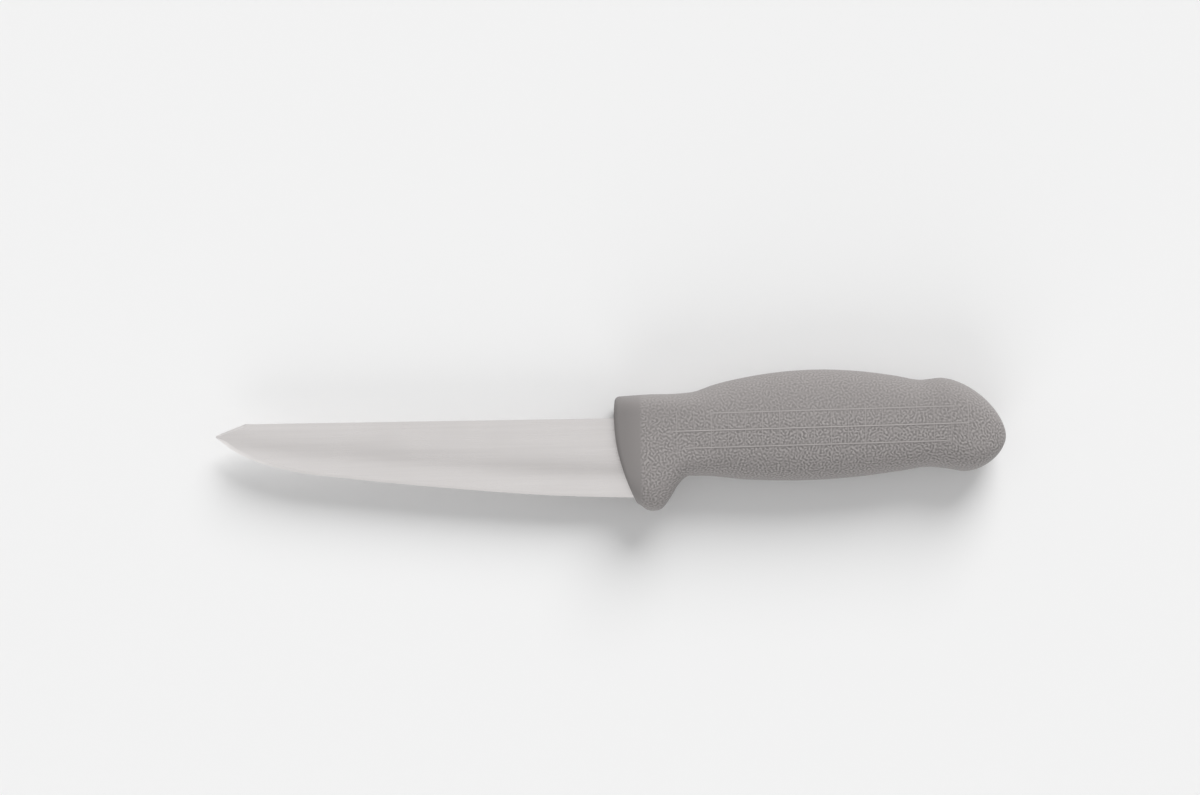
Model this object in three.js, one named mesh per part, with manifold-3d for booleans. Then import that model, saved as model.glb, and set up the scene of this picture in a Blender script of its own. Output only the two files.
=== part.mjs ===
// Butcher knife with a clipped point and a moulded handle, lying on its side.
// Millimetres. X runs from the tip to the butt, Y from the edge to the spine, Z across the thickness.
// Depths are measured backwards from the top of the handle's front, drops downwards from the spine.

import * as THREE from 'three';
import { mergeVertices } from 'three/addons/utils/BufferGeometryUtils.js';
import Module from 'manifold-3d';

const wasm = await Module();
wasm.setup();

// Blade
const BLADE_LENGTH = 138; // from the front of the handle to the tip
const BLADE_HEIGHT = 27.5; // from the spine to the edge at the heel
const BLADE_THICKNESS = 2.2;
const CLIP_LENGTH = 10.1; // the sloping end of the spine
const TIP_DROP = 3.8;
const TIP_HEIGHT = 0.7; // the tip is slightly blunt
const GRIND_HEIGHT = 11; // from the edge to the line where the flats end
const BEVEL_HEIGHT = 1; // sharpened strip along the edge
const BEVEL_THICKNESS = 0.5; // blade thickness behind the sharpened strip
const EDGE_THICKNESS = 0.1;
const SPINE_CHAMFER = 0.3;
const HEEL_DEPTH = 12; // the blade keeps its full height this far into the handle

// Tang, the narrow end of the blade inside the handle
const TANG_LENGTH = 98; // from the front of the handle to the end of the tang
const TANG_HEIGHT = 11;
const TANG_END_HEIGHT = 9;
const TANG_AXIS_DROP = 6.2;
const TANG_HOLE_DIAMETER = 5.5;
const TANG_HOLE_COUNT = 3;
const FIRST_HOLE_DEPTH = 38;
const LAST_HOLE_MARGIN = 12; // from the last hole to the end of the tang

// Handle, its back and its foot
const HANDLE_LENGTH = 135.1;
const HANDLE_WIDTH = 24;
const COLLAR_LENGTH = 22.5; // straight back behind the front
const COLLAR_HEIGHT = 8.2; // rear end of that back above the spine
const COLLAR_DIP = 0.8; // front end of that back below its rear end
const HUMP_DEPTH = 71.3;
const HUMP_HEIGHT = 15.7;
const NECK_HEIGHT = 11.6;
const NECK_REACH = 29.6; // from the top of the neck to the butt
const POMMEL_HEIGHT = 12.2;
const POMMEL_REACH = 22.3; // from the top of the pommel to the butt
const BUTT_DROP = 8; // rearmost point of the butt
const GUARD_COVER = 4.6; // finger guard below the edge of the blade
const GUARD_DEPTH = 13.1;
const GUARD_TOE = 2.5; // front end of the guard above its tip
const FINGER_DEPTH = 28; // finger rest behind the guard
const FINGER_DROP = 20.3;
const BELLY_DEPTH = 63.5;
const BELLY_DROP = 22.4;
const NECK_DROP = 18.4;
const NECK_FOOT_REACH = 26.3; // from the foot of the neck to the butt
const POMMEL_DROP = 20.1;
const POMMEL_FOOT_REACH = 14.2; // from the foot of the pommel to the butt

// Handle, its front and its sides
const FRONT_LEAN = 6.7; // foot of the front face behind its top
const LEAN_LENGTH = 50; // depth at which the lean has faded
const FRONT_BOW = 2.85; // the front face bows forward
const BOW_LENGTH = 30; // depth at which the bow has faded
const FRONT_ROUND = 2.4; // rounding of the front rim
const FRONT_PINCH = 0.8; // the front is narrower on each side
const BAND_LENGTH = 8.6; // smooth band behind the front
const NECK_PINCH = 0.5; // the neck is narrower on each side
const NECK_LENGTH = 15; // length of the narrowing before and behind the neck
const BUTT_ROUND = 16; // length over which the sides close at the butt
const PANEL_HEIGHT = 11.8; // flat panel along each side
const PANEL_DROP = 4.8; // middle line of the panel, at the front
const PANEL_END_DROP = 3; // the same line, at the butt

// Inside of the handle
const GRIP_WALL = 3.5; // grip over the core
const CORE_SETBACK = 3; // front of the core behind the heel of the blade
const CORE_REAR_COVER = 12; // grip behind the core
const GAP = 0.3; // the moulded pieces stand off each other by this much

// Shapes of curves, as shares of their length and of their height from one end to the other
const EDGE_POINT = [[0.039, 0.3185], [0.084, 0.438], [0.184, 0.5945]];
const EDGE_BELLY = [[0.333, 0.7055], [0.559, 0.8327], [0.859, 0.9618]];
const COLLAR_RISE = [[0.533, 0.81]];
const HUMP_RISE = [[0.1025, 0.073], [0.236, 0.36], [0.482, 0.713]];
const HUMP_FALL = [[0.43, 0.22], [0.784, 0.66]];
const GUARD_TURN = [[0.25, 0.14], [0.563, 0.76]];
const GUARD_FLANK = [[0.188, 0.064], [0.376, 0.364], [0.564, 0.746], [0.752, 0.975]];
const BELLY_FALL = [[0.479, 0.69]];
const BELLY_RISE = [[0.453, 0.25], [0.784, 0.7]];
const POMMEL_FALL = [[0.512, 0.44]];

// Powers of rounded outlines: two is an ellipse, more is squarer
const SIDE_POWER = 2.2;
const BUTT_TOP_POWER = 1.65;
const BUTT_FOOT_POWER = 1.8;
const BUTT_SIDE_POWER = 2.2;

// Knots of a curve from one place to another, shaped by shares of the way
function leg(from, to, shares) {
  const along = (i, share) => from[i] + (to[i] - from[i]) * share;
  return [from, ...shares.map(([a, b]) => [along(0, a), along(1, b)])];
}

// Smooth curve y(x) through the knots, level at its last knot
function profile(knots) {
  const last = knots.length - 1;
  const slopes = knots.map(([x, y], i) => {
    if (i === last) {
      return 0;
    }
    const ahead = (knots[i + 1][1] - y) / (knots[i + 1][0] - x);
    if (i === 0) {
      return ahead;
    }
    const before = x - knots[i - 1][0];
    const after = knots[i + 1][0] - x;
    const behind = (y - knots[i - 1][1]) / before;
    return (after * behind + before * ahead) / (before + after);
  });
  return (at) => {
    let i = 0;
    while (i < last - 1 && at > knots[i + 1][0]) {
      i += 1;
    }
    const span = knots[i + 1][0] - knots[i][0];
    const t = THREE.MathUtils.clamp((at - knots[i][0]) / span, 0, 1);
    const keep = 1 + t * t * (2 * t - 3);
    const leave = slopes[i] * t * (1 - t) * (1 - t);
    const arrive = slopes[i + 1] * t * t * (1 - t);
    return keep * knots[i][1] + (1 - keep) * knots[i + 1][1] + span * (leave - arrive);
  };
}

// Quarter of a rounded outline: 1 at t = 0, falling to 0 at t = 1
function quarter(t, power) {
  return (1 - THREE.MathUtils.clamp(t, 0, 1) ** power) ** (1 / power);
}

// Falls smoothly from 1 at zero to 0 at the given length
function fade(x, length) {
  return 1 - THREE.MathUtils.smoothstep(x, 0, length);
}

// Places from one to another, closer together near the start when the power is above one
function stations(from, to, steps, power = 1) {
  return Array.from({ length: steps + 1 }, (_, i) => from + (to - from) * (i / steps) ** power);
}

// One half of a ring and its mirror image on the other side of the middle plane
function mirrored(half) {
  return [...half, ...half.map(([x, y, z]) => [x, y, -z]).reverse()];
}

function toSolid(geometry) {
  const bare = geometry.clone();
  bare.deleteAttribute('normal');
  bare.deleteAttribute('uv');
  const merged = mergeVertices(bare, 1e-4);
  const mesh = new wasm.Mesh({
    numProp: 3,
    vertProperties: Float32Array.from(merged.attributes.position.array),
    triVerts: Uint32Array.from(merged.index.array),
  });
  return new wasm.Manifold(mesh);
}

function toMesh(name, solid, material) {
  const mesh = solid.getMesh();
  const geometry = new THREE.BufferGeometry();
  geometry.setAttribute('position', new THREE.BufferAttribute(mesh.vertProperties, 3));
  geometry.setIndex(new THREE.BufferAttribute(mesh.triVerts, 1));
  geometry.computeVertexNormals();
  const piece = new THREE.Mesh(geometry, material);
  piece.name = name;
  return piece;
}

// Closed body through mirrored rings, capped at both ends
function loft(rings) {
  const count = rings[0].length;
  const indices = [];
  for (let r = 0; r < rings.length - 1; r += 1) {
    for (let k = 0; k < count; k += 1) {
      const a = r * count + k;
      const b = r * count + ((k + 1) % count);
      indices.push(a, b, a + count, b, b + count, a + count);
    }
  }
  const end = (rings.length - 1) * count;
  for (let k = 0; k < count / 2 - 1; k += 1) {
    const j = count - 1 - k;
    indices.push(k, j, k + 1, j, j - 1, k + 1);
    indices.push(end + k, end + k + 1, end + j, end + j, end + k + 1, end + j - 1);
  }
  const geometry = new THREE.BufferGeometry();
  geometry.setAttribute('position', new THREE.Float32BufferAttribute(rings.flat(2), 3));
  geometry.setIndex(indices);
  return toSolid(geometry);
}

const edgeKnots = [...EDGE_POINT, ...EDGE_BELLY];
const edgeHeight = profile([
  [-BLADE_LENGTH, -TIP_DROP - TIP_HEIGHT],
  ...edgeKnots.map(([along, down]) => [BLADE_LENGTH * (along - 1), -BLADE_HEIGHT * down]),
  [HEEL_DEPTH, -BLADE_HEIGHT],
]);

function spineHeight(x) {
  const clip = THREE.MathUtils.clamp((x + BLADE_LENGTH) / CLIP_LENGTH, 0, 1);
  return -TIP_DROP * (1 - clip);
}

// Section of the blade at x, larger all round by the given amount
function bladeRing(x, grow) {
  const spine = spineHeight(x);
  const edge = edgeHeight(x);
  const height = spine - edge;
  const bevel = edge + Math.min(BEVEL_HEIGHT, height * 0.3);
  const grind = edge + Math.min(GRIND_HEIGHT, height * 0.8);
  const chamfer = Math.min(SPINE_CHAMFER, height * 0.1);
  const slope = (BLADE_THICKNESS - BEVEL_THICKNESS) / 2 / (GRIND_HEIGHT - BEVEL_HEIGHT);
  const half = (y) => Math.min(BLADE_THICKNESS / 2, BEVEL_THICKNESS / 2 + slope * (y - bevel));
  return mirrored([
    [x, spine + grow, half(spine) - chamfer + grow],
    [x, spine - chamfer + grow, half(spine - chamfer) + grow],
    [x, grind, half(grind) + grow],
    [x, bevel, half(bevel) + grow],
    [x, edge - grow, EDGE_THICKNESS / 2 + grow],
  ]);
}

// Flat bar of the tang behind the given depth, larger all round by the given amount
function tangBar(from, grow) {
  const start = TANG_HEIGHT / 2 + grow;
  const radius = TANG_END_HEIGHT / 2 + grow;
  const end = TANG_LENGTH - TANG_END_HEIGHT / 2;
  const outline = new THREE.Shape();
  outline.moveTo(from, -TANG_AXIS_DROP - start);
  outline.lineTo(end, -TANG_AXIS_DROP - radius);
  outline.absarc(end, -TANG_AXIS_DROP, radius, -Math.PI / 2, Math.PI / 2);
  outline.lineTo(from, -TANG_AXIS_DROP + start);
  outline.closePath();
  const depth = BLADE_THICKNESS + 2 * grow;
  const bar = new THREE.ExtrudeGeometry(outline, { depth, bevelEnabled: false, curveSegments: 8 });
  bar.translate(0, 0, -depth / 2);
  return toSolid(bar);
}

// Round pegs across the tang, at the places of its holes
function tangPegs(diameter) {
  const last = TANG_LENGTH - LAST_HOLE_MARGIN;
  const pegs = stations(FIRST_HOLE_DEPTH, last, TANG_HOLE_COUNT - 1).map((x) => {
    const peg = new THREE.CylinderGeometry(diameter / 2, diameter / 2, 4 * BLADE_THICKNESS, 20);
    peg.rotateX(Math.PI / 2);
    peg.translate(x, -TANG_AXIS_DROP, 0);
    return toSolid(peg);
  });
  return pegs.reduce((all, peg) => all.add(peg));
}

function bladeSolid() {
  const clipEnd = CLIP_LENGTH - BLADE_LENGTH;
  const point = stations(-BLADE_LENGTH, clipEnd, 10, 1.4);
  const rest = stations(clipEnd, HEEL_DEPTH, 36, 1.3);
  const rings = [...point, ...rest.slice(1)].map((x) => bladeRing(x, 0));
  const tang = tangBar(HEEL_DEPTH / 2, 0).subtract(tangPegs(TANG_HOLE_DIAMETER));
  return loft(rings).add(tang);
}

const neckDepth = HANDLE_LENGTH - NECK_REACH;
const pommelDepth = HANDLE_LENGTH - POMMEL_REACH;
const pommelFootDepth = HANDLE_LENGTH - POMMEL_FOOT_REACH;

const collarFront = [0, COLLAR_HEIGHT - COLLAR_DIP];
const collarEnd = [COLLAR_LENGTH, COLLAR_HEIGHT];
const hump = [HUMP_DEPTH, HUMP_HEIGHT];
const neck = [neckDepth, NECK_HEIGHT];
const backLine = profile([
  ...leg(collarFront, collarEnd, COLLAR_RISE),
  ...leg(collarEnd, hump, HUMP_RISE),
  ...leg(hump, neck, HUMP_FALL),
  neck,
  [pommelDepth, POMMEL_HEIGHT],
]);

const guardTip = [GUARD_DEPTH, -BLADE_HEIGHT - GUARD_COVER];
const guardToe = [FRONT_LEAN, guardTip[1] + GUARD_TOE];
const fingerRest = [FINGER_DEPTH, -FINGER_DROP];
const belly = [BELLY_DEPTH, -BELLY_DROP];
const neckFoot = [HANDLE_LENGTH - NECK_FOOT_REACH, -NECK_DROP];
const pommelFoot = [pommelFootDepth, -POMMEL_DROP];
const footLine = profile([
  ...leg(guardToe, guardTip, GUARD_TURN),
  ...leg(guardTip, fingerRest, GUARD_FLANK),
  ...leg(fingerRest, belly, BELLY_FALL),
  ...leg(belly, neckFoot, BELLY_RISE),
  ...leg(neckFoot, pommelFoot, POMMEL_FALL),
  pommelFoot,
]);

function backHeight(x) {
  const closing = (x - pommelDepth) / POMMEL_REACH;
  return -BUTT_DROP + (backLine(x) + BUTT_DROP) * quarter(closing, BUTT_TOP_POWER);
}

function footHeight(x) {
  const closing = (x - pommelFootDepth) / POMMEL_FOOT_REACH;
  return -BUTT_DROP + (footLine(x) + BUTT_DROP) * quarter(closing, BUTT_FOOT_POWER);
}

function halfWidth(x) {
  const fromNeck = Math.abs(x - neckDepth);
  const pinch = FRONT_PINCH * fade(x, BAND_LENGTH) + NECK_PINCH * fade(fromNeck, NECK_LENGTH);
  const closing = (x - HANDLE_LENGTH + BUTT_ROUND) / BUTT_ROUND;
  return (HANDLE_WIDTH / 2 - pinch) * quarter(closing, BUTT_SIDE_POWER);
}

function lean(x) {
  return FRONT_LEAN * fade(x, LEAN_LENGTH);
}

// Shares of the handle height, from the back, at the upper and lower rim of the flat side panel
function panelShares(x) {
  const at = Math.min(x, pommelDepth);
  const back = backHeight(at);
  const height = back - footHeight(at + lean(at));
  const middle = back + THREE.MathUtils.lerp(PANEL_DROP, PANEL_END_DROP, at / HANDLE_LENGTH);
  return [(middle - PANEL_HEIGHT / 2) / height, (middle + PANEL_HEIGHT / 2) / height];
}

// Section of the handle at a depth x, set in all round by the given amount
function handleRing(x, inset, steps) {
  const bite = Math.max(FRONT_ROUND - x, 0);
  const setIn = inset + FRONT_ROUND - Math.sqrt(FRONT_ROUND ** 2 - bite ** 2);
  const back = backHeight(x) - setIn;
  const foot = footHeight(x + lean(x)) + setIn;
  const half = halfWidth(x) - setIn;
  const height = back - foot;
  const [upper, lower] = panelShares(x).map((share) => back - share * height);
  const bow = FRONT_BOW * fade(x, BOW_LENGTH);
  const place = (y, z) => {
    const share = (back - y) / height;
    return [x + lean(x) * share - 4 * bow * share * (1 - share), y, z];
  };
  const angles = Array.from({ length: steps }, (_, k) => ((k + 0.5) / (steps + 0.5)) * (Math.PI / 2));
  const crown = Math.cos(angles[0]);
  const round = (angle, from, to) => {
    const rise = (Math.cos(angle) / crown) ** (2 / SIDE_POWER);
    return place(from + (to - from) * rise, half * Math.sin(angle) ** (2 / SIDE_POWER));
  };
  return mirrored([
    ...angles.map((angle) => round(angle, upper, back)),
    place(upper, half),
    place(lower, half),
    ...angles.map((angle) => round(angle, lower, foot)).reverse(),
  ]);
}

// Outside of the handle
function handleSolid() {
  const rim = [0, 0.125, 0.375, 0.667].map((share) => share * FRONT_ROUND);
  const guard = stations(FRONT_ROUND, FINGER_DEPTH, 16);
  const palm = stations(FINGER_DEPTH, HANDLE_LENGTH - BUTT_ROUND, 20);
  const turns = [0.14, 0.28, 0.42, 0.56, 0.68, 0.78, 0.87, 0.93, 0.975];
  const butt = turns.map((t) => HANDLE_LENGTH - BUTT_ROUND * (1 - Math.sin((t * Math.PI) / 2)));
  const places = [...rim, ...guard, ...palm.slice(1), ...butt];
  return loft(places.map((x) => handleRing(x, 0, 10)));
}

// Hard core inside the grip, larger all round by the given amount
function coreSolid(grow) {
  const front = HEEL_DEPTH + CORE_SETBACK - grow;
  const rear = HANDLE_LENGTH - CORE_REAR_COVER + grow;
  return loft(stations(front, rear, 22).map((x) => handleRing(x, GRIP_WALL - grow, 5)));
}

// The pegs of the core stand in the holes of the tang
function handleCore() {
  const pegs = tangPegs(TANG_HOLE_DIAMETER - 2 * GAP);
  return coreSolid(0).subtract(tangBar(0, GAP).subtract(pegs));
}

function handleGrip() {
  const slotPlaces = [-2 * FRONT_BOW, 0, HEEL_DEPTH / 2, HEEL_DEPTH + GAP];
  const slot = loft(slotPlaces.map((x) => bladeRing(x, GAP)));
  return handleSolid().subtract(coreSolid(GAP)).subtract(slot).subtract(tangBar(0, GAP));
}

const steel = new THREE.MeshStandardMaterial({ color: 0xd3cbc8, roughness: 0.35, metalness: 1 });
const hardPlastic = new THREE.MeshStandardMaterial({ color: 0x6a6664, roughness: 0.55, metalness: 0 });
const softPlastic = new THREE.MeshStandardMaterial({ color: 0x948d8a, roughness: 0.75, metalness: 0 });

const knife = new THREE.Group();
knife.name = 'knife';
knife.add(toMesh('blade', bladeSolid(), steel));
knife.add(toMesh('handle_core', handleCore(), hardPlastic));
knife.add(toMesh('handle_grip', handleGrip(), softPlastic));

// The knife lies on its side, centred over the origin
const box = new THREE.Box3().setFromObject(knife);
const centre = box.getCenter(new THREE.Vector3());
knife.position.set(-centre.x, -centre.y, -box.min.z);

const part = new THREE.Group();
part.name = 'butcher_knife';
part.add(knife);

export default part;
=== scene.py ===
# Butcher knife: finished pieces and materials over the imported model.
import math

import bmesh
import bpy
import numpy as np
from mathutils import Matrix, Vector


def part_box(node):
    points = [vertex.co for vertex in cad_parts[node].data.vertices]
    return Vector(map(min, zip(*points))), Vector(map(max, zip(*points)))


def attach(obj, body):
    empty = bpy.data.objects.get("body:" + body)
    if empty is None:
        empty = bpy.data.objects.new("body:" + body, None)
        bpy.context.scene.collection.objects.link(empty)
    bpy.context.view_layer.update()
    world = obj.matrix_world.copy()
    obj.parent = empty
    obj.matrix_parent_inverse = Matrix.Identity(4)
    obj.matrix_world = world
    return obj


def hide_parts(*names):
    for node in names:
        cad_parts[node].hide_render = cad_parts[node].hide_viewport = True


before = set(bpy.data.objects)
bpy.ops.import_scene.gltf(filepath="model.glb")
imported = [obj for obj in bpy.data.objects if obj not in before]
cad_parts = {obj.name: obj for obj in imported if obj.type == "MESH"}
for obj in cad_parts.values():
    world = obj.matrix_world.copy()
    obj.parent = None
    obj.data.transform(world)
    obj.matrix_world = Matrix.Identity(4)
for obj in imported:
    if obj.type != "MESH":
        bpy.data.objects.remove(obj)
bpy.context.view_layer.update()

# Lengths are in millimetres, drawn in the knife's own axes: X runs from the tip to the butt and
# starts at the top of the handle's front, Y is zero at the spine, Z is zero in the middle plane.
MM = 0.001
TINY = 1e-6  # least height that a share is taken of
SAME_PLACE = 0.001  # points of a mesh closer than this are one point

# Blade
BLADE_LENGTH = 138.0
BLADE_HEIGHT = 27.5
BLADE_THICKNESS = 2.2
HEEL_DEPTH = 12.0
CLIP_LENGTH = 10.1
TIP_DROP = 3.8
TIP_HEIGHT = 0.7
SPINE_ROUND = 0.06
CLIP_BEVEL = 0.6  # height of the bevel along the clip
CLIP_BEVEL_IN = 0.3
CLIP_BLEND = 1.2  # that bevel turns into the rounded spine over this length
SHOULDER_SHARE = 0.25  # largest share of the blade's height that rounding or bevel takes, downwards
SHOULDER_IN_SHARE = 0.1  # and inwards
GRIND_HEIGHT = 11.0
GRIND_BLEND = 3.6  # width of the soft turn between the flats and the grind
BEVEL_HEIGHT = 0.8
TIP_BEVEL_HEIGHT = 1.5  # the sharpened strip is wider along the curved point
TIP_BEVEL_LENGTH = 34.0
BEVEL_SHARE = 0.3  # largest share of the blade's height that the strip takes
BEVEL_THICKNESS = 0.5
EDGE_THICKNESS = 0.1
# Course of the edge from the tip to the heel, in shares of the blade's length and height
EDGE_SHARES = [
    (0.039, 0.3185), (0.084, 0.438), (0.184, 0.5945),
    (0.333, 0.7055), (0.559, 0.8327), (0.859, 0.9618),
]
BLADE_CREASE = 24.0  # degrees between faces that meet in a crisp edge

# Rings of the blade's mesh, and points down one side of a ring
CLIP_RINGS = 34
CLIP_CROWDING = 1.3  # the rings along the clip stand closer together towards the tip
BLADE_RINGS = 120
SHOULDER_POINTS = 5
FLAT_POINTS = 50
FLAT_ENDS = (0.985, 0.995, 1.0)  # shares of the way down the flat, closer together at its end
SHARP_SHARES = (0.05, 0.35, 0.7, 1.0)  # of the way down the sharpened strip

# Tang
TANG_LENGTH = 98.0
TANG_HEIGHT = 11.0
TANG_END_HEIGHT = 9.0
TANG_AXIS_DROP = 6.2
TANG_HOLE_DIAMETER = 5.5
TANG_HOLES = (38.0, 62.0, 86.0)
TANG_END_ANGLE = 84.0  # the round end is cut off flat where it has turned by these degrees
TANG_END_RINGS = 12
HOLE_POINTS = 25  # in half a turn
HOLE_REACH = 2.0  # what cuts a hole stands this many thicknesses of the blade out to each side

# Outline of the handle
HANDLE_LENGTH = 135.1
HANDLE_WIDTH = 24.0
COLLAR_LENGTH = 22.5
COLLAR_HEIGHT = 8.2
COLLAR_DIP = 0.8
HUMP_DEPTH = 71.3
HUMP_HEIGHT = 15.7
NECK_HEIGHT = 11.6
NECK_REACH = 29.6
POMMEL_HEIGHT = 12.2
POMMEL_REACH = 22.3
BUTT_DROP = 8.0
GUARD_COVER = 4.6
GUARD_DEPTH = 13.1
GUARD_TOE = 2.5
FINGER_DEPTH = 28.0
FINGER_DROP = 20.3
BELLY_DEPTH = 63.5
BELLY_DROP = 22.4
NECK_DROP = 18.4
NECK_FOOT_REACH = 26.3
POMMEL_DROP = 20.1
POMMEL_FOOT_REACH = 14.2
# Courses between those places, in shares of the way along and of the way up or down
COLLAR_RISE = [(0.533, 0.81)]
HUMP_RISE = [(0.1025, 0.073), (0.236, 0.36), (0.482, 0.713)]
HUMP_FALL = [(0.43, 0.22), (0.784, 0.66)]
GUARD_TURN = [(0.25, 0.14), (0.563, 0.76)]
GUARD_FLANK = [(0.188, 0.064), (0.376, 0.364), (0.564, 0.746), (0.752, 0.975)]
BELLY_FALL = [(0.479, 0.69)]
BELLY_RISE = [(0.453, 0.25), (0.784, 0.7)]
POMMEL_FALL = [(0.512, 0.44)]

# Front and sections of the handle
FRONT_LEAN = 6.7
LEAN_LENGTH = 50.0
FRONT_BOW = 2.55
BOW_LENGTH = 30.0
FRONT_ROUND = 1.7
FRONT_PINCH = 0.8
BAND_LENGTH = 8.6  # smooth band behind the front
NECK_PINCH = 0.5
NECK_LENGTH = 15.0
BUTT_ROUND = 16.0
BUTT_TOP_POWER = 1.65
BUTT_FOOT_POWER = 1.8
BUTT_SIDE_POWER = 2.2
PANEL_HEIGHT = 11.8
PANEL_REACH = PANEL_HEIGHT / 2
PANEL_DROPS = (4.8, 3.0)  # of the panel's middle line, at the front and at the butt
SIDE_POWER = 2.2  # fullness of the sections inside
SKIN_POWER = (3.0, 2.0)  # and outside, at the guard and behind it
SKIN_CROWN = (0.0, 0.45)  # the panel's rims lie this much lower than its middle, in the same order
SKIN_TURN = (12.0, 40.0)
GRIP_CREASE = 32.0  # degrees between faces that meet in a crisp edge

# Inside of the handle
GRIP_WALL = 3.5
CORE_SETBACK = 3.0
CORE_REAR_COVER = 12.0
CORE_RINGS = 23
CORE_ANGLES = (3.0, 87.0)  # points round a quarter of the core, in degrees
CORE_POINTS = 6
GAP = 0.3
SLOT_GAP = 0.03  # the grip is moulded close round the blade
SLOT_START = 4 * FRONT_BOW  # what cuts the slot stands this far out of the front

# Raised lines on the side panels: three long ones, crossed by short ones
LINE_HALF_WIDTH = 0.3
LINE_HEIGHT = 0.18
LINE_ENDS = [(30.3, 118.8), (18.2, 122.8), (22.2, 116.4)]  # upper, middle, lower
LINE_SHARES = (0.64, 1.0, 0.86)  # of that height, in the same order
LINE_DROP = 0.2  # the lines lie this far under the middle of the panel
LINE_FADE = 4.0  # length over which a long line runs out at each end
LINE_TURN = (118.0, 130.0)  # rows of the mesh leave their straight course between these depths
LINE_FAR = 2.0  # a place as far from a line as this isn't touched by it
LINE_SIDE_SHARE = 0.5  # lines are raised only further out than this share of the half width
LINE_SIDE = 10.0  # and coloured only further than this from the middle plane
CROSS_START = 21.1
CROSS_PITCH = 5.87
CROSS_COUNT = 18
CROSS_HALF_WIDTH = 0.24
CROSS_HEIGHT = 0.06
CROSS_STRONG_HEIGHT = 0.086
CROSS_STRONG = (0, 2, 5, 6, 8, 9, 11, 15, 17)  # numbers of the higher ones, from the front
CROSS_OVER = (1.2, 4.0)  # reach above the upper line, at the front and at the rear of the panel
CROSS_OVER_SPAN = (50.0, 100.0)
CROSS_OVER_FADE = (0.2, 1.0)  # shares of that reach between which the short lines run out
CROSS_END = 1.0  # they end this far under the lower line

# Seam of the mould along the back and the foot
SEAM_HEIGHT = 0.06
SEAM_HALF_WIDTH = 0.3
SEAM_LAND = 0.05

# Rows along the handle's mesh, and columns across it
SEAM_ANGLES = (0.0, 0.46, 1.0, 2.1)  # rows beside the seam, in degrees round the section
ROW_ANGLES = (4.0, 86.5)  # other rows over and under the panel
ROW_COUNT = 26
ROW_REACH = 1 + LINE_HALF_WIDTH / PANEL_REACH  # share of the panel's reach where they begin
PANEL_ROWS = 10  # from one long line to the next
LINE_ROWS = 7  # across a raised line
RIM_COLUMNS = 9  # round the edge of the front
FRONT_COLUMNS = 5
LEANING_TO = 5.0  # columns follow the front before this depth
TURN_COLUMNS = 22
VERTICAL_FROM = 20.0  # and stand upright behind this one
COLUMN_STEP = 0.95
COLUMN_CLEAR = 0.2  # least room between a plain column and a short line
BUTT_COLUMNS = 34
BUTT_SHARES = (0.1, 0.992)  # of the quarter turn round the butt
HALVINGS = 40  # of the handle's length, to find the section through a point
GIRTH_STEPS = 60
LENGTH_STEPS = 2000

# Steel. Marks are given by their scales along the axes, per millimetre, and their detail
STEEL_LIGHT = (0.945, 0.915, 0.905)
STEEL_DARK = (0.484, 0.464, 0.457)
STEEL_TONE = 0.365  # from light to dark; the marks and the painted shade along the grind add to it
STEEL_ROUGHNESS = 0.21
STEEL_BUMP = 0.05
STEEL_BUMP_HEIGHT = 0.02
POLISH = ((0.06, 9.0, 9.0), 3.0)  # fine lines along the blade
POLISH_TONE = 0.05
POLISH_ROUGHNESS = 0.10
SCRATCHES = ((6.0, 0.25, 0.25), 2.0)  # faint lines across it
SCRATCH_TONE = 0.04
SCRATCH_RELIEF = 0.4
STREAKS = ((0.02, 0.8, 0.8), 3.0)  # broad lines along it
STREAK_TONE = 0.16
STEEL_CLOUDS = ((0.07, 0.07, 0.07), 2.0)
STEEL_CLOUD_TONE = 0.08
STEEL_CLOUD_ROUGHNESS = 0.06

# Painted shade in a band along the grind, standing in for a darker reflection there, and painted
# highlights on the steel
GRIND_SHADE_TONE = 0.166
GRIND_SHADE_RISE = 9.6  # of the band's middle above the edge
GRIND_SHADE_RISE_SHARE = 0.47  # and at most this share of the blade's height
GRIND_SHADE_SPREADS = (4.2, 2.6)  # above its middle and below it
HEEL_SHADING = 0.35  # the band is this much stronger towards the heel
HEEL_SHADING_SPAN = (-55.0, -15.0)
POINT_HIGHLIGHT = 0.36  # painted highlight: the steel is a little brighter towards the point
POINT_HIGHLIGHT_LENGTH = 64.0
GROUND_HIGHLIGHT = 0.26  # and a painted highlight on the grind, from the band to the edge
GROUND_HIGHLIGHT_SPAN = (2.0, 5.5)
BEVEL_HIGHLIGHT = -2.4  # tone of the painted highlight on the bevels, on the scale of the band
SHARP_HIGHLIGHT_SHARES = (0.4, 1.0)  # shares of it on the sharpened strip, at its top and at the edge
BEVEL_MARGIN = 0.02  # points this near to a bevel, in shares of its height, belong to it

# Plastic of the grip
GRIP_LIGHT = (0.400, 0.375, 0.368)
GRIP_DARK = (0.147, 0.138, 0.135)
GRIP_TONE = 0.2  # from dark to light, at the front; the other tones add to it
GRIP_ROUGHNESS = 0.58
GRIP_CLOUDS = ((0.05, 0.05, 0.05), 3.0)
GRIP_CLOUD_TONE = 0.045
GRIP_FINE = ((3.0, 3.0, 3.0), 3.0)
GRIP_FINE_RELIEF = 0.12
GRIP_FINE_ROUGHNESS = 0.08
FRONT_SHADE_TONE = 0.11  # painted shade: the smooth band is darker towards the front and gets lighter from the front to the grain
FRONT_SHADE_SPAN = (1.5, 8.5)
# painted highlight: the raised lines are lighter
LINE_HIGHLIGHT_TONE = 0.62

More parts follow.
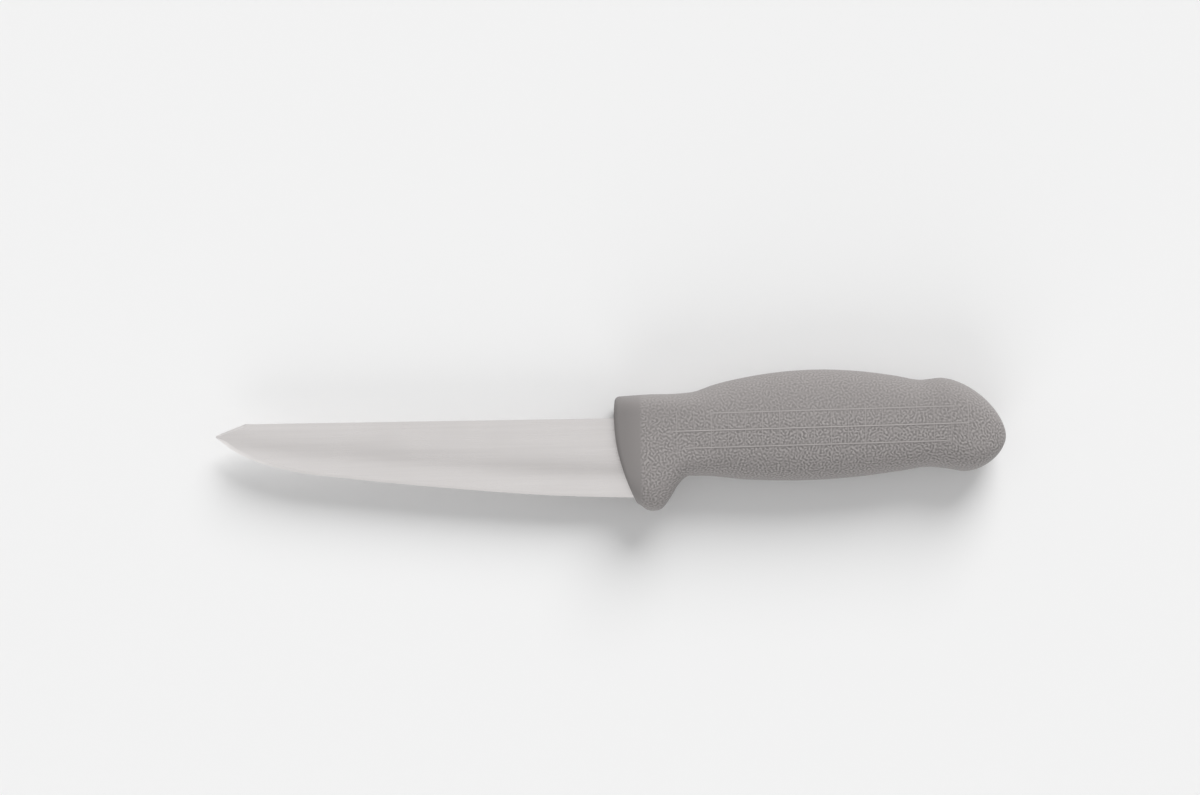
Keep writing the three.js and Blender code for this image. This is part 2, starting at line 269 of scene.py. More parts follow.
# Worm-like grain of the grip
GRAIN_PITCH = 1.19  # from one raised worm to the next
GRAIN_FREQUENCY = 1.7
GRAIN_RANGE = (0.25, 0.79)  # from the valleys to the crests
GRAIN_HEIGHT = 0.113
GRAIN_BUMP = 1.0
GRAIN_WANDER = 0.6  # how far the worms stray, in pitches
GRAIN_WANDER_SCALE = 0.9
GRAIN_TONE_AND_SHADE = 0.77  # the crests are lighter and the valleys darker, partly the plastic's own tone and partly painted shade in the valleys
GRAIN_LEVEL = 0.45  # height of the worms that keeps the tone
GRAIN_ROUGHNESS = -0.08
GRAIN_START = (8.0, 9.6)  # the grain sets in between these depths
FIELD_TONE = 0.12  # the grained field is lighter than the band
GRAIN_FACING = (0.1, 0.75)  # the grain is shallower where the skin turns to the back or the foot
GRAIN_FACING_DEPTH = 0.45
GRAIN_BACK_SPAN = (-7.0, 7.0)  # and shallower towards the back
GRAIN_BACK_DEPTH = 0.5
GRAIN_FRONT_SPAN = (15.0, 60.0)  # and a little shallower towards the front
GRAIN_FRONT_DEPTH = 0.84
GRAIN_LINE_SPAN = (0.05, 0.4)  # and nearly gone on the raised lines
GRAIN_LINE_DEPTH = 0.1
LONG_CLEAR = 0.57  # the worms are cut down to this share beside the long lines
LONG_CLEAR_SPAN = (0.45, 0.85)
SHORT_CLEAR = 0.8  # and to this one beside the short lines
SHORT_CLEAR_SPAN = (0.35, 0.7)

# Plastic of the core
CORE_DARK = (0.118, 0.112, 0.108)
CORE_LIGHT = (0.150, 0.143, 0.138)
CORE_ROUGHNESS = 0.46
CORE_FLOW = ((0.075, 0.25, 0.25), 4.0)
CORE_FINE = ((4.0, 4.0, 4.0), 2.0)
CORE_FINE_ROUGHNESS = 0.12
CORE_BUMP = 0.4
CORE_BUMP_HEIGHT = 0.01

# Numbers of the colour sockets of a Mix node
MIX_FIRST = 6
MIX_SECOND = 7
MIX_RESULT = 2

# Studio: floor in metres, lights with their turn, height and spread in degrees
FLOOR_SIZE = 6.0
FLOOR_COLOUR = (0.83, 0.83, 0.83)
FLOOR_ROUGHNESS = 0.9
KEY_LIGHT = {"turn": 161.6, "elevation": 35.0, "spread": 36.0, "strength": 2.7}
FILL_LIGHT = {"turn": -13.0, "elevation": 16.0, "spread": 60.0, "strength": 1.25}
WORLD_COLOUR = (1.0, 1.0, 1.0)
WORLD_DIFFUSE = 0.47
WORLD_SEEN = 0.9
WORLD_MIRRORED = (0.5, 0.92)  # in reflections, from the horizon to high above
WORLD_RISE = (0.0, 0.9)  # upward share of the direction there

# The photograph looks straight down, with the knife turned slightly in the picture
PICTURE_WIDTH = 415.2  # across the picture, in the middle plane of the knife
PICTURE_CENTRE = (-4.98, 7.30)
PICTURE_TURN = 0.928
CAMERA_DISTANCE = 1.0  # metres
SENSOR_WIDTH = 36.0

# The knife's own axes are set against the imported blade
blade_low, blade_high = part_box("blade")
ORIGIN = np.array([
    blade_low[0] / MM + BLADE_LENGTH,
    blade_high[1] / MM,
    (blade_low[2] + blade_high[2]) / 2 / MM,
])


def mixed(pair, share):
    """Value between the two of a pair: the first at a share of 0, the second at 1."""
    return pair[0] + (pair[1] - pair[0]) * share


def smooth(x, low, high):
    """0 below the low value and 1 above the high one, with a soft rise between them."""
    t = np.clip((x - low) / (high - low), 0.0, 1.0)
    return t * t * (3 - 2 * t)


def fade(x, length):
    """1 up to zero, falling softly to 0 over the length."""
    return 1 - smooth(x, 0.0, length)


def quarter(t, power):
    """Quarter of a rounded outline: 1 at t = 0, falling to 0 at t = 1."""
    return (1 - np.clip(t, 0.0, 1.0) ** power) ** (1 / power)


def leg(start, end, shares):
    """Knots of a curve from one place to another, shaped by shares of the way."""
    dx = end[0] - start[0]
    dy = end[1] - start[1]
    return [start] + [(start[0] + dx * a, start[1] + dy * b) for a, b in shares]


def profile(knots):
    """Smooth curve y(x) through the knots, level at its last knot."""
    xs, ys = np.array(knots, dtype=float).T
    spans = np.diff(xs)
    chords = np.diff(ys) / spans
    slopes = np.zeros_like(xs)
    slopes[0] = chords[0]
    before = spans[:-1]
    after = spans[1:]
    slopes[1:-1] = (after * chords[:-1] + before * chords[1:]) / (before + after)

    def height(at):
        i = np.clip(np.searchsorted(xs, at) - 1, 0, len(spans) - 1)
        t = np.clip((at - xs[i]) / spans[i], 0.0, 1.0)
        keep = 1 + t * t * (2 * t - 3)
        leave = slopes[i] * t * (1 - t) ** 2
        arrive = slopes[i + 1] * t * t * (1 - t)
        return keep * ys[i] + (1 - keep) * ys[i + 1] + spans[i] * (leave - arrive)

    return height


# Outline of the blade
edge_height = profile(
    [(-BLADE_LENGTH, -TIP_DROP - TIP_HEIGHT)]
    + [(BLADE_LENGTH * (a - 1), -BLADE_HEIGHT * b) for a, b in EDGE_SHARES]
    + [(HEEL_DEPTH, -BLADE_HEIGHT)]
)


def spine_height(x):
    """Height of the spine, which drops along the clip."""
    return -TIP_DROP * (1 - np.clip((x + BLADE_LENGTH) / CLIP_LENGTH, 0.0, 1.0))


def bevel_height(x):
    """Height of the sharpened strip along the edge."""
    strip = mixed((BEVEL_HEIGHT, TIP_BEVEL_HEIGHT), fade(x + BLADE_LENGTH, TIP_BEVEL_LENGTH))
    return np.minimum(strip, BEVEL_SHARE * (spine_height(x) - edge_height(x)))


def on_clip(x):
    """1 along the clip, falling to 0 just behind it."""
    return fade(x - CLIP_LENGTH + BLADE_LENGTH + CLIP_BLEND / 2, CLIP_BLEND)


def shoulder_height(x):
    """Height of the rounding along the spine, or of the bevel along the clip."""
    plain = mixed((SPINE_ROUND, CLIP_BEVEL), on_clip(x))
    return np.minimum(plain, SHOULDER_SHARE * (spine_height(x) - edge_height(x)))


# Outline of the handle
neck_depth = HANDLE_LENGTH - NECK_REACH
pommel_depth = HANDLE_LENGTH - POMMEL_REACH
pommel_foot_depth = HANDLE_LENGTH - POMMEL_FOOT_REACH
collar_end = (COLLAR_LENGTH, COLLAR_HEIGHT)
hump = (HUMP_DEPTH, HUMP_HEIGHT)
neck = (neck_depth, NECK_HEIGHT)
back_line = profile(
    leg((0.0, COLLAR_HEIGHT - COLLAR_DIP), collar_end, COLLAR_RISE)
    + leg(collar_end, hump, HUMP_RISE)
    + leg(hump, neck, HUMP_FALL)
    + [neck, (pommel_depth, POMMEL_HEIGHT)]
)
guard_tip = (GUARD_DEPTH, -BLADE_HEIGHT - GUARD_COVER)
guard_toe = (FRONT_LEAN, guard_tip[1] + GUARD_TOE)
finger_rest = (FINGER_DEPTH, -FINGER_DROP)
belly = (BELLY_DEPTH, -BELLY_DROP)
neck_foot = (HANDLE_LENGTH - NECK_FOOT_REACH, -NECK_DROP)
pommel_foot = (pommel_foot_depth, -POMMEL_DROP)
foot_line = profile(
    leg(guard_toe, guard_tip, GUARD_TURN)
    + leg(guard_tip, finger_rest, GUARD_FLANK)
    + leg(finger_rest, belly, BELLY_FALL)
    + leg(belly, neck_foot, BELLY_RISE)
    + leg(neck_foot, pommel_foot, POMMEL_FALL)
    + [pommel_foot]
)


def back_height(x):
    """Height of the back of the handle, closing at the butt."""
    closing = (x - pommel_depth) / POMMEL_REACH
    return -BUTT_DROP + (back_line(x) + BUTT_DROP) * quarter(closing, BUTT_TOP_POWER)


def foot_height(x):
    """Height of the foot of the handle, closing at the butt."""
    closing = (x - pommel_foot_depth) / POMMEL_FOOT_REACH
    return -BUTT_DROP + (foot_line(x) + BUTT_DROP) * quarter(closing, BUTT_FOOT_POWER)


def half_width(x):
    """Half width of the handle, pinched at the front and at the neck and closing at the butt."""
    pinch = FRONT_PINCH * fade(x, BAND_LENGTH)
    pinch = pinch + NECK_PINCH * fade(np.abs(x - neck_depth), NECK_LENGTH)
    closing = (x - HANDLE_LENGTH + BUTT_ROUND) / BUTT_ROUND
    return (HANDLE_WIDTH / 2 - pinch) * quarter(closing, BUTT_SIDE_POWER)


def lean(x):
    """How far the foot of the section at a depth lies behind its back."""
    return FRONT_LEAN * fade(x, LEAN_LENGTH)


def panel_middle(x):
    """Height of the middle line of the side panel."""
    return -mixed(PANEL_DROPS, x / HANDLE_LENGTH)


def section(x, inset=0.0):
    """Back, foot, half width and the two rims of the flat side of the handle at a depth x."""
    bite = np.maximum(FRONT_ROUND - x, 0.0)
    set_in = inset + FRONT_ROUND - np.sqrt(FRONT_ROUND ** 2 - bite ** 2)
    back = back_height(x) - set_in
    foot = foot_height(x + lean(x)) + set_in
    at = np.minimum(x, pommel_depth)
    whole = back_height(at) - foot_height(at + lean(at))
    middle = (back_height(at) - panel_middle(at)) / whole
    reach = PANEL_REACH / whole
    upper = back - (middle - reach) * (back - foot)
    lower = back - (middle + reach) * (back - foot)
    return back, foot, half_width(x) - set_in, upper, lower


def side_at(y, shape, crown=0.0, power=SIDE_POWER):
    """Half width of a handle section at the height y."""
    back, foot, half, upper, lower = shape
    above = (y - upper) / np.maximum(back - upper, TINY)
    below = (lower - y) / np.maximum(lower - foot, TINY)
    from_middle = np.abs(2 * y - upper - lower) / np.maximum(upper - lower, TINY)
    fall = np.where(from_middle < 1, from_middle ** 2, 2 - np.exp(2 - 2 * from_middle))
    crowned = half - crown * fall * half / (HANDLE_WIDTH / 2)
    return crowned * quarter(np.maximum(above, below), power)


def skin_at(x, y, shape):
    """Half width of the outside of the handle, fuller at the guard than behind it."""
    turn = smooth(x, *SKIN_TURN)
    return side_at(y, shape, mixed(SKIN_CROWN, turn), mixed(SKIN_POWER, turn))


def shifted(x, y, shape):
    """Place along the knife of a point of the section at depth x, whose front leans and bows."""
    back, foot, *_ = shape
    share = (back - y) / np.maximum(back - foot, TINY)
    bow = FRONT_BOW * fade(x, BOW_LENGTH)
    return x + lean(x) * share - 4 * bow * share * (1 - share)


def depth_where(place_of, aims):
    """Depths of the sections whose points lie at the wanted places along the knife, by halving."""
    low = np.zeros_like(aims)
    high = np.full_like(aims, HANDLE_LENGTH)
    for _ in range(HALVINGS):
        half = (low + high) / 2
        short = place_of(half) < aims
        low = np.where(short, half, low)
        high = np.where(short, high, half)
    return (low + high) / 2


def skin_girth(place, y):
    """Way round the skin of the handle from the middle of its side to the height y."""

    def place_of(depth):
        return shifted(depth, y, section(depth))

    depth = depth_where(place_of, place)
    shape = section(depth)
    _, _, half, upper, lower = shape
    middle = (upper + lower) / 2
    girth = np.zeros_like(y)
    before_y = middle
    before_z = half
    for step in np.linspace(0.0, 1.0, GIRTH_STEPS)[1:]:
        now_y = mixed((middle, y), 1 - (1 - step) ** 2)
        now_z = skin_at(depth, now_y, shape)
        girth = girth + np.hypot(now_y - before_y, now_z - before_z)
        before_y = now_y
        before_z = now_z
    return np.copysign(girth, y - middle)


def skin_length(x):
    """Way along the skin from the front of the handle, round the closing of its sides."""
    places = HANDLE_LENGTH * np.sin(np.linspace(0.0, 0.5 * np.pi, LENGTH_STEPS))
    steps = np.hypot(np.diff(places), np.diff(half_width(places)))
    return np.interp(x, places, np.concatenate([[0.0], np.cumsum(steps)]))


def bumps(offsets, half_width_of_line):
    """Round cross-section of a raised line: 1 in the middle, 0 at its sides."""
    t = np.clip(np.abs(offsets) / half_width_of_line, 0.0, 1.0)
    return 0.5 + 0.5 * np.cos(np.pi * t)


def line_middle(x):
    """Height of the middle one of the long lines."""
    return panel_middle(x) - LINE_DROP


def long_lines(x, y):
    """For each long line: its share of the height, 1 between its ends, and the offset from it."""
    for step, (start, end), share in zip((1, 0, -1), LINE_ENDS, LINE_SHARES):
        ends = smooth(x, start, start + LINE_FADE) * (1 - smooth(x, end - LINE_FADE, end))
        yield share, ends, y - line_middle(x) - step * PANEL_REACH


def within_short_lines(x, y):
    """1 between the ends of the short lines, falling to 0 beyond them."""
    over = mixed(CROSS_OVER, smooth(x, *CROSS_OVER_SPAN))
    rise = y - line_middle(x)
    above = smooth((rise - PANEL_REACH) / over, *CROSS_OVER_FADE)
    below = smooth(-rise - PANEL_REACH, 0.0, CROSS_END)
    return (1 - above) * (1 - below)


def line_relief(x, y):
    """Height of the raised lines at a place of the side panel."""
    relief = np.zeros(np.broadcast(x, y).shape)
    for share, ends, offset in long_lines(x, y):
        line = LINE_HEIGHT * share * ends * bumps(offset, LINE_HALF_WIDTH)
        relief = np.maximum(relief, line)
    within = within_short_lines(x, y)
    for k in range(CROSS_COUNT):
        height = CROSS_STRONG_HEIGHT if k in CROSS_STRONG else CROSS_HEIGHT
        across = bumps(x - CROSS_START - k * CROSS_PITCH, CROSS_HALF_WIDTH)
        relief = np.maximum(relief, height * within * across)
    return relief


def from_long_line(x, y):
    """Distance to the nearest long line."""
    nearest = np.full_like(x, LINE_FAR)
    for _, ends, offset in long_lines(x, y):
        nearest = np.minimum(nearest, np.abs(offset) + LINE_FAR * (1 - ends))
    return nearest


def from_short_line(x, y):
    """Distance to the nearest short line."""
    number = np.clip(np.round((x - CROSS_START) / CROSS_PITCH), 0, CROSS_COUNT - 1)
    offset = np.abs(x - CROSS_START - number * CROSS_PITCH)
    return np.minimum(offset + LINE_FAR * (1 - within_short_lines(x, y)), LINE_FAR)


def handle_rows():
    """Rows of one side: over the panel, on it (closer together at the lines) and under it."""
    angles = np.concatenate([SEAM_ANGLES, np.linspace(*ROW_ANGLES, ROW_COUNT)])
    rises = np.cos(np.radians(angles)) ** (2 / SIDE_POWER)
    step = LINE_HALF_WIDTH / PANEL_REACH
    across = np.linspace(1.0, -1.0, LINE_ROWS) * step
    between_lines = np.linspace(1 - step, step, PANEL_ROWS)[1:-1]
    panel = np.concatenate([1 + across, between_lines, across, -between_lines[::-1], -1 + across])
    shares = np.concatenate([rises, panel, rises[::-1]])
    groups = np.repeat([0, 1, 2], [len(rises), len(panel), len(rises)])
    return groups, shares


def row_heights(x, rows, shape):
    """Heights of the mesh rows of one side of the handle, from the back to the foot."""
    group, share = rows
    back, foot, _, upper, lower = shape
    reach = (upper - lower) / 2
    middle = (upper + lower) / 2 - LINE_DROP * reach / PANEL_REACH
    turn = smooth(x, *LINE_TURN)
    middle = np.where(x > pommel_depth, mixed((line_middle(x), middle), turn), middle)
    reach = np.where(x > pommel_depth, mixed((PANEL_REACH, reach), turn), reach)
    above = mixed((middle + ROW_REACH * reach, back), share)
    on_panel = middle + share * reach
    below = mixed((middle - ROW_REACH * reach, foot), share)
    return np.where(group == 0, above, np.where(group == 1, on_panel, below))


def handle_columns():
    """Upright columns of the handle mesh, closer together at the short lines and at the butt."""
    turn = np.linspace(*BUTT_SHARES, BUTT_COLUMNS) * np.pi / 2
    butt = HANDLE_LENGTH - BUTT_ROUND * (1 - np.sin(turn))
    plain = np.concatenate([np.arange(VERTICAL_FROM, butt[0], COLUMN_STEP), butt])
    centres = CROSS_START + CROSS_PITCH * np.arange(CROSS_COUNT)
    offsets = np.linspace(-1.0, 1.0, LINE_ROWS) * CROSS_HALF_WIDTH
    lines = (centres[:, None] + offsets).ravel()
    clear = np.abs(plain[:, None] - centres).min(axis=1) > CROSS_HALF_WIDTH + COLUMN_CLEAR
    return np.sort(np.concatenate([plain[clear], lines]))


def handle_depths(rows):
    """Depth of the section through each point of the mesh, by column and by row."""

    def places(x):
        shape = section(x)
        return shifted(x, row_heights(x, rows, shape), shape)

    count = len(rows[0])
    rim = FRONT_ROUND * (1 - np.cos(np.linspace(0.0, 0.5 * np.pi, RIM_COLUMNS)))
    front = np.concatenate([rim, np.linspace(FRONT_ROUND, LEANING_TO, FRONT_COLUMNS)[1:]])
    leaning = np.repeat(front[:, None], count, axis=1)
    first = places(leaning[-1:])
    turning = np.linspace(0.0, 1.0, TURN_COLUMNS)[1:-1, None]
    aims = np.concatenate([
        mixed((first, VERTICAL_FROM), turning),
        np.repeat(handle_columns()[:, None], count, axis=1),
    ])
    return np.concatenate([leaning, depth_where(places, aims)])


def mirrored(half):
    """Whole rings from their one side, which is repeated beyond the middle plane."""
    other = half[:, ::-1] * np.array([1.0, 1.0, -1.0])
    return np.concatenate([half, other], axis=1)


def handle_rings():
    """Rings of points round the outside of the handle, from its front to its butt."""
    rows = handle_rows()
    group = rows[0]
    x = handle_depths(rows)
    shape = section(x)
    half = shape[2]
    y = row_heights(x, rows, shape)
    room_for_lines = 1 - LINE_HEIGHT / (HANDLE_WIDTH / 2)
    z = np.maximum(skin_at(x, y, shape) * room_for_lines, SEAM_LAND)
    place = shifted(x, y, shape)
    seam = SEAM_HEIGHT * bumps(z, SEAM_HALF_WIDTH)
    z = z + line_relief(place, y) * (z > LINE_SIDE_SHARE * half)
    y = y + np.where(group == 0, seam, 0.0) - np.where(group == 2, seam, 0.0)
    return mirrored(np.stack([place, y, z], axis=-1))


def core_rings(grow):
    """Rings round the core of the handle, larger all round by the given amount."""
    front = HEEL_DEPTH + CORE_SETBACK - grow
    rear = HANDLE_LENGTH - CORE_REAR_COVER + grow
    x = np.linspace(front, rear, CORE_RINGS)[:, None]
    shape = section(x, GRIP_WALL - grow)
    back, foot, _, upper, lower = shape
    turns = np.radians(np.linspace(*CORE_ANGLES, CORE_POINTS))
    rises = np.cos(turns) ** (2 / SIDE_POWER)
    y = np.concatenate([mixed((upper, back), rises), mixed((lower, foot), rises[::-1])], axis=1)
    return mirrored(np.stack([shifted(x, y, shape), y, side_at(y, shape)], axis=-1))


def blade_rings():
    """Rings round the blade, from the tip to the heel inside the handle."""
    clip = -BLADE_LENGTH + CLIP_LENGTH * np.linspace(0.0, 1.0, CLIP_RINGS) ** CLIP_CROWDING
    behind = np.linspace(CLIP_LENGTH - BLADE_LENGTH, HEEL_DEPTH, BLADE_RINGS)[1:]
    x = np.concatenate([clip, behind])[:, None]
    spine = spine_height(x)
    edge = edge_height(x)
    bevel = edge + bevel_height(x)
    clipped = on_clip(x)
    shoulder = spine - shoulder_height(x)
    shoulder_in = mixed((SPINE_ROUND, CLIP_BEVEL_IN), clipped)
    shoulder_in = np.minimum(shoulder_in, SHOULDER_IN_SHARE * (spine - edge))
    slope = (BLADE_THICKNESS - BEVEL_THICKNESS) / 2 / (GRIND_HEIGHT - BEVEL_HEIGHT)

    def half_at(y):
        under = bevel + GRIND_HEIGHT - BEVEL_HEIGHT - y
        soft = 0.5 * (under + np.sqrt(under ** 2 + GRIND_BLEND ** 2))
        return BLADE_THICKNESS / 2 - slope * soft

    turn = np.linspace(0.0, 0.5 * np.pi, SHOULDER_POINTS)
    straight = np.linspace(0.0, 1.0, SHOULDER_POINTS)
    fall = mixed((1 - np.cos(turn), straight), clipped)
    inward = 1 - mixed((np.sin(turn), straight), clipped)
    shoulder_y = mixed((spine, shoulder), fall)
    shoulder_z = half_at(shoulder) - shoulder_in * inward
    down = np.concatenate([np.linspace(0.0, FLAT_ENDS[0], FLAT_POINTS)[1:], FLAT_ENDS[1:]])
    flat_y = mixed((shoulder, bevel), down)
    flat_z = half_at(flat_y)
    sharp = np.array(SHARP_SHARES)
    sharp_y = mixed((bevel, edge), sharp)
    sharp_z = mixed((flat_z[:, -1:], EDGE_THICKNESS / 2), sharp)
    y = np.concatenate([shoulder_y, flat_y, sharp_y], axis=1)
    z = np.concatenate([shoulder_z, flat_z, sharp_z], axis=1)
    return mirrored(np.stack([np.broadcast_to(x, y.shape), y, z], axis=-1))


def slot_rings(grow):
    """Rings round the heel of the blade, larger all round by the given amount."""
    rings = blade_rings()
    heel = rings[rings[:, 0, 0] > -SLOT_START]
    middle = np.array([0.0, (heel[..., 1].max() + heel[..., 1].min()) / 2, 0.0])
    size = np.array([np.inf, np.ptp(heel[..., 1]) / 2, BLADE_THICKNESS / 2])
    return middle + (heel - middle) * (1 + grow / size)


def bar_rings(start, grow):
    """Rings round the tang behind the given depth, larger all round by the given amount."""
    end = TANG_LENGTH - TANG_END_HEIGHT / 2
    turn = np.radians(np.linspace(0.0, TANG_END_ANGLE, TANG_END_RINGS))
    radius = TANG_END_HEIGHT / 2 + grow
    x = np.concatenate([[start], end + radius * np.sin(turn)])[:, None]
    reach = np.concatenate([[TANG_HEIGHT / 2 + grow], radius * np.cos(turn)])[:, None]
    y = -TANG_AXIS_DROP + reach * np.array([1.0, -1.0])
    z = np.full_like(y, BLADE_THICKNESS / 2 + grow)
    return mirrored(np.stack([np.broadcast_to(x, y.shape), y, z], axis=-1))


def peg_rings(x, diameter):
    """Rings of a peg across the tang."""
    turn = np.linspace(0.0, np.pi, HOLE_POINTS)
    angle = np.concatenate([turn, turn[-2:0:-1]])
    side = np.where(np.arange(len(angle)) < HOLE_POINTS, 1.0, -1.0)
    ring = np.stack([
        x + diameter / 2 * np.cos(angle),
        -TANG_AXIS_DROP + diameter / 2 * np.sin(angle) * side,
    ], axis=-1)
    ends = np.array([-1.0, 1.0]) * HOLE_REACH * BLADE_THICKNESS
    return np.stack([np.column_stack([ring, np.full(len(ring), z)]) for z in ends])


def added(name, data):
    """Puts a new object into the scene."""
    made = bpy.data.objects.new(name, data)
    bpy.context.scene.collection.objects.link(made)
    return made


def welded(mesh):
    """Makes one point of those that fall together, as where rings close at the butt."""
    made = bmesh.new()
    made.from_mesh(mesh)
    bmesh.ops.remove_doubles(made, verts=made.verts, dist=SAME_PLACE * MM)
    made.to_mesh(mesh)
    made.free()


def lofted(name, rings):
    """Closed mesh through rings of points, capped at both ends."""
    count, size = rings.shape[:2]
    first = (np.arange(count - 1)[:, None] * size + np.arange(size)).ravel()
    following = (np.arange(count - 1)[:, None] * size + (np.arange(size) + 1) % size).ravel()
    quads = np.stack([first, following, following + size, first + size], axis=1)
    low = np.arange(size // 2 - 1)
    high = size - 1 - low
    cap = np.stack([low, high, high - 1, low + 1], axis=1)
    last = (count - 1) * size
    faces = np.concatenate([quads, cap, cap[:, ::-1] + last])
    points = rings.reshape(-1, 3)
    a, b, c, d = points[faces].transpose(1, 0, 2)
    volume = np.einsum("ij,ij->", a, np.cross(b, c)) + np.einsum("ij,ij->", a, np.cross(c, d))
    if volume < 0:
        faces = faces[:, ::-1]
    mesh = bpy.data.meshes.new(name)
    mesh.from_pydata(((points + ORIGIN) * MM).tolist(), [], faces.tolist())
    welded(mesh)
    mesh.update()
    return added(name, mesh)


def combined(piece, others, operation):
    """Joins other bodies to a piece or cuts them out of it, and removes them from the scene."""
    for other in others:
        step = piece.modifiers.new("body", "BOOLEAN")
        step.operation = operation
        step.solver = "MANIFOLD"
        step.object = other
    graph = bpy.context.evaluated_depsgraph_get()
    made = bpy.data.meshes.new_from_object(piece.evaluated_get(graph))
    piece.modifiers.clear()
    old = piece.data
    piece.data = made
    made.name = piece.name
    bpy.data.meshes.remove(old)
    for other in others:
        spare = other.data
        bpy.data.objects.remove(other)
        bpy.data.meshes.remove(spare)


def shaded(piece, angle):
    """Smooth shading with crisp edges where faces meet at more than the angle, in degrees."""
    piece.data.shade_smooth()
    piece.data.set_sharp_from_angle(angle=math.radians(angle))


def covered(piece, material):
    """Gives a piece one material all over."""
    mesh = piece.data
    mesh.materials.clear()
    mesh.materials.append(material)
    mesh.polygons.foreach_set("material_index", np.zeros(len(mesh.polygons), dtype=np.int32))


def own_axes(piece):
    """Places of the points of a piece in the knife's own axes."""
    flat = np.empty(len(piece.data.vertices) * 3)
    piece.data.vertices.foreach_get("co", flat)
    return flat.reshape(-1, 3) / MM - ORIGIN


def painted(piece, name, values):
    """Stores one number for each point of a piece, for its material to read."""
    layer = piece.data.attributes.new(name, "FLOAT", "POINT")
    layer.data.foreach_set("value", np.ascontiguousarray(values, dtype=np.float32))


def node(tree, kind, **sockets):
    """Adds a node and fills in its input sockets by name or number."""
    made = tree.nodes.new(kind)
    for socket, value in sockets.items():
        key = int(socket[1:]) if socket[0] == "_" else socket.replace("_", " ")
        if isinstance(value, bpy.types.NodeSocket):
            tree.links.new(value, made.inputs[key])
        else:
            made.inputs[key].default_value = value
    return made


def maths(tree, operation, a, b=0.0, c=0.0):
    """Result of a calculation with up to three values."""
    made = node(tree, "ShaderNodeMath", _0=a, _1=b, _2=c)
    made.operation = operation
    return made.outputs[0]


def product(tree, first, *others):
    """All values multiplied."""
    for other in others:
        first = maths(tree, "MULTIPLY", first, other)
    return first


def weighted(tree, base, *terms):
    """Sum of a base and of values with their weights."""
    for value, weight in terms:
        base = maths(tree, "MULTIPLY_ADD", value, weight, base)
    return base


def between(tree, value, span, to_low=0.0, to_high=1.0):
    """A value mapped smoothly from a span to another."""
    low, high = span
    made = node(tree, "ShaderNodeMapRange", Value=value, From_Min=low, From_Max=high)
    made.inputs["To Min"].default_value = to_low
    made.inputs["To Max"].default_value = to_high
    made.interpolation_type = "SMOOTHSTEP"
    return made.outputs["Result"]


def parts(tree, vector):
    """The three numbers of a vector."""
    return node(tree, "ShaderNodeSeparateXYZ", _0=vector).outputs


def placed(tree, where, axis, span, to_low=0.0, to_high=1.0):
    """A value that changes smoothly over a span along one of the knife's own axes."""
    shift = ORIGIN["XYZ".index(axis)]
    own_span = (span[0] + shift, span[1] + shift)
    return between(tree, parts(tree, where)[axis], own_span, to_low, to_high)


def noise(tree, where, scales, detail):
    """Cloudy noise with a scale along each axis, per millimetre."""
    spread = node(tree, "ShaderNodeVectorMath", _0=where, _1=scales)
    spread.operation = "MULTIPLY"
    made = node(tree, "ShaderNodeTexNoise", Vector=spread.outputs[0], Scale=1.0, Detail=detail)
    return made.outputs["Fac"]


def attribute(tree, name):
    """The number that a piece stores under a name for each of its points."""
    made = tree.nodes.new("ShaderNodeAttribute")
    made.attribute_name = name
    return made.outputs["Fac"]


def tinted(tree, factor, first, second):
    """Colour between two by a factor from 0 to 1."""
    made = tree.nodes.new("ShaderNodeMix")
    made.data_type = "RGBA"
    tree.links.new(factor, made.inputs["Factor"])
    made.inputs[MIX_FIRST].default_value = (*first, 1.0)
    made.inputs[MIX_SECOND].default_value = (*second, 1.0)
    return made.outputs[MIX_RESULT]


def new_material(name):
    """Empty principled material."""
    material = bpy.data.materials.new(name)
    material.use_nodes = True
    tree = material.node_tree
    return material, tree, tree.nodes["Principled BSDF"]


def millimetres(tree):
    """Coordinates in millimetres in the frame of the model."""
    where = tree.nodes.new("ShaderNodeTexCoord").outputs["Object"]
    scaled = node(tree, "ShaderNodeVectorMath", _0=where)
    scaled.operation = "SCALE"
    scaled.inputs["Scale"].default_value = 1 / MM
    return scaled.outputs[0]


def finished(tree, shader, colour, rough, bump):
    """Links colour, roughness and fine relief to a shader."""
    tree.links.new(colour, shader.inputs["Base Color"])
    tree.links.new(rough, shader.inputs["Roughness"])
    tree.links.new(bump.outputs["Normal"], shader.inputs["Normal"])


def steel_material():
    """Satin blade steel with fine polishing lines, painted shade in a band along the grind and
    painted highlights towards the point, on the grind and on the bevels.
    """
    material, tree, shader = new_material("satin_steel")
    where = millimetres(tree)
    polish = noise(tree, where, *POLISH)
    scratches = noise(tree, where, *SCRATCHES)
    clouds = noise(tree, where, *STEEL_CLOUDS)
    # the tone carries the painted shade and painted highlights of the grind through the band
    tone_and_shade = weighted(
        tree,
        STEEL_TONE,
        (attribute(tree, "band"), GRIND_SHADE_TONE),
        (noise(tree, where, *STREAKS), STREAK_TONE),
        (polish, POLISH_TONE),
        (scratches, SCRATCH_TONE),
        (clouds, STEEL_CLOUD_TONE),
    )
    colour = tinted(tree, tone_and_shade, STEEL_LIGHT, STEEL_DARK)
    unevenness = [(polish, POLISH_ROUGHNESS), (clouds, STEEL_CLOUD_ROUGHNESS)]
    rough = weighted(tree, STEEL_ROUGHNESS, *unevenness)
    relief = weighted(tree, polish, (scratches, SCRATCH_RELIEF))
    bump = node(
        tree, "ShaderNodeBump", Height=relief, Strength=STEEL_BUMP, Distance=STEEL_BUMP_HEIGHT * MM
    )
    finished(tree, shader, colour, rough, bump)
    shader.inputs["Metallic"].default_value = 1.0
    return material


